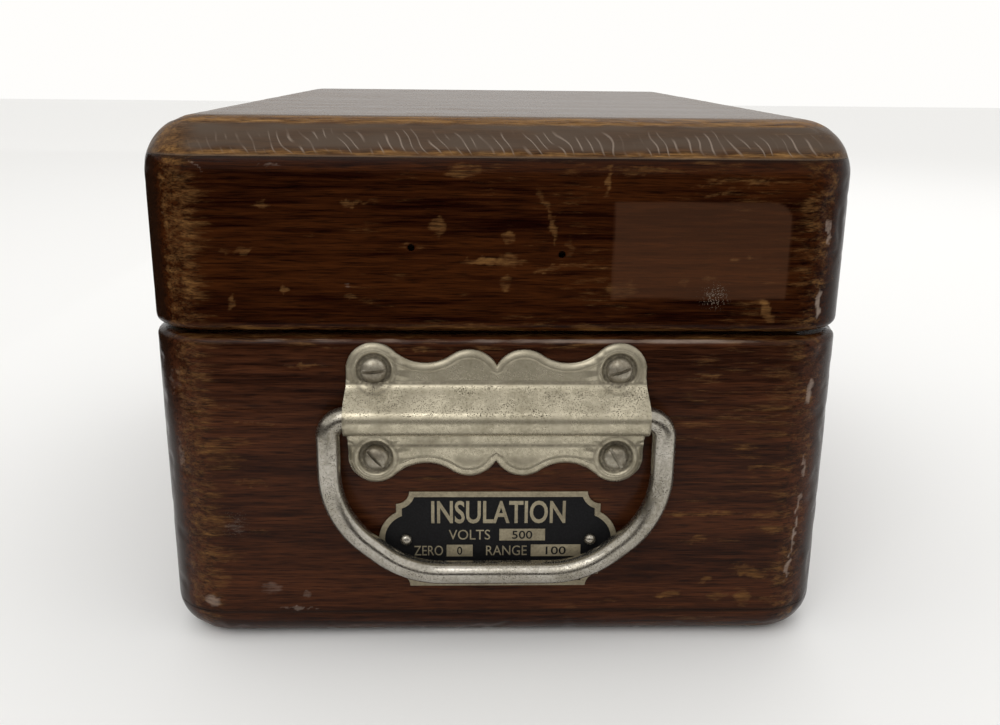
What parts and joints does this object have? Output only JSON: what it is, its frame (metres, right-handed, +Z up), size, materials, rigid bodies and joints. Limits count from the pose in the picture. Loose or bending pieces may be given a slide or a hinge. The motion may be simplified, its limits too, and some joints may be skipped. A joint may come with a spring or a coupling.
{
  "type": "insulation resistance tester",
  "caption": "Battery-operated insulation resistance tester in a round-cornered wooden carrying case, with end bail handle, hinged lid, meter, knobs and binding posts.",
  "frame": {"origin": "centre of the case's flat underside", "axes": "+X to the right of the handle end, +Y from the handle end to the rear, +Z up"},
  "size_m": [0.2168, 0.302, 0.161],
  "materials": {
    "case_wood": "dark red-brown mahogany under old shellac, worn golden at the edges",
    "inner_wood": "plain mahogany, thin stain, unpolished",
    "nickel": "old nickel plate, warm and finely pitted",
    "nameplate_black": "etched brass with a black filled field and a bare raised border",
    "brass": "aged brass",
    "panel_black": "black paper-phenolic sheet, satin",
    "bakelite": "black moulded phenolic, polished",
    "meter_glass": "clear window glass",
    "paper_card": "aged cream card",
    "steel": "plain steel",
    "pointer_black": "black lacquered aluminium",
    "copper_coil": "enamelled copper wire",
    "battery_card": "waxed card jacket",
    "resistor_wood": "turned and varnished spools",
    "wire_cloth": "rubber-covered hook-up wire in waxed cotton"
  },
  "bodies": {
    "case": {"case_end_front": "case_wood", "case_end_rear": "case_wood", "case_side_left": "case_wood", "case_side_right": "case_wood", "case_bottom": "case_wood", "rim_liner": "inner_wood", "panel_rails": "inner_wood", "handle_plate": "nickel", "handle_screws": "nickel", "nameplate": "nameplate_black", "nameplate_pins": "brass", "hinge_case_leaves": "brass", "hinge_case_screws": "nickel", "hinge_pins": "brass", "catch_studs": "nickel", "panel": "panel_black", "panel_screws": "nickel", "meter_base": "bakelite", "meter_cover": "bakelite", "meter_glass": "meter_glass", "meter_dial": "paper_card", "meter_magnets": "steel", "pole_pieces": "steel", "meter_core": "steel", "meter_frame": "brass", "range_switch": "bakelite", "zero_rheostat": "bakelite", "button_bushing": "nickel", "button_spring": "steel", "contact_block": "panel_black", "post_studs": "nickel", "batteries": "battery_card", "battery_strap": "steel", "terminal_board": "panel_black", "resistors": "resistor_wood", "wiring": "wire_cloth"},
    "lid": {"lid_end_front": "case_wood", "lid_end_rear": "case_wood", "lid_side_left": "case_wood", "lid_side_right": "case_wood", "lid_top": "case_wood", "hinge_lid_leaves": "brass", "hinge_lid_screws": "nickel", "hook_pivots": "nickel", "instruction_card": "paper_card", "card_frame": "inner_wood"},
    "handle": {"handle_bail": "nickel"},
    "hook_front": {"hook_front": "nickel"},
    "hook_rear": {"hook_rear": "nickel"},
    "pointer": {"pointer": "pointer_black", "moving_coil": "copper_coil"},
    "zero_screw": {"zero_screw": "brass"},
    "range_knob": {"range_knob": "bakelite", "range_shaft": "steel"},
    "zero_knob": {"zero_knob": "bakelite", "zero_shaft": "steel"},
    "test_button": {"test_button": "bakelite"},
    "post_cap_line": {"post_cap_line": "bakelite"},
    "post_cap_guard": {"post_cap_guard": "bakelite"},
    "post_cap_earth": {"post_cap_earth": "bakelite"}
  },
  "joints": [
    {"name": "lid_hinge", "type": "hinge", "parent": "case", "child": "lid", "pos_m": [-0.105, 0, 0.10025], "axis": [0, -1, 0], "range_deg": [0, 98]},
    {"name": "handle_swing", "type": "hinge", "parent": "case", "child": "handle", "pos_m": [-0.0009, -0.1508, 0.0765], "axis": [-1, 0, 0], "range_deg": [0, 175]},
    {"name": "hook_front_swing", "type": "hinge", "parent": "lid", "child": "hook_front", "pos_m": [0.1043, -0.08, 0.113], "axis": [1, 0, 0], "range_deg": [-90, 35]},
    {"name": "hook_rear_swing", "type": "hinge", "parent": "lid", "child": "hook_rear", "pos_m": [0.1043, 0.08, 0.113], "axis": [1, 0, 0], "range_deg": [-90, 35]},
    {"name": "pointer_turn", "type": "hinge", "parent": "case", "child": "pointer", "pos_m": [0.004, 0, 0.1], "axis": [0, 0, -1], "range_deg": [0, 88], "stiffness_Nm_per_rad": 0.0001, "springref_deg": -5.73},
    {"name": "zero_screw_turn", "type": "hinge", "parent": "case", "child": "zero_screw", "pos_m": [0.022, 0, 0.108], "axis": [0, 0, 1], "range_deg": [-15, 15]},
    {"name": "range_turn", "type": "hinge", "parent": "case", "child": "range_knob", "pos_m": [-0.04, 0.095, 0.1], "axis": [0, 0, -1], "range_deg": [0, 120]},
    {"name": "zero_turn", "type": "hinge", "parent": "case", "child": "zero_knob", "pos_m": [0.025, 0.095, 0.1], "axis": [0, 0, -1], "range_deg": [0, 280]},
    {"name": "button_press", "type": "slide", "parent": "case", "child": "test_button", "axis": [0, 0, -1], "range_m": [0, 0.004], "stiffness_N_per_m": 300, "springref_m": -0.004, "deforming": ["button_spring"]},
    {"name": "post_cap_line_turn", "type": "hinge", "parent": "case", "child": "post_cap_line", "pos_m": [-0.05, -0.1, 0.1], "axis": [0, 0, 1], "continuous": true},
    {"name": "post_cap_guard_turn", "type": "hinge", "parent": "case", "child": "post_cap_guard", "pos_m": [-0.015, -0.1, 0.1], "axis": [0, 0, 1], "continuous": true},
    {"name": "post_cap_earth_turn", "type": "hinge", "parent": "case", "child": "post_cap_earth", "pos_m": [0.02, -0.1, 0.1], "axis": [0, 0, 1], "continuous": true}
  ]
}
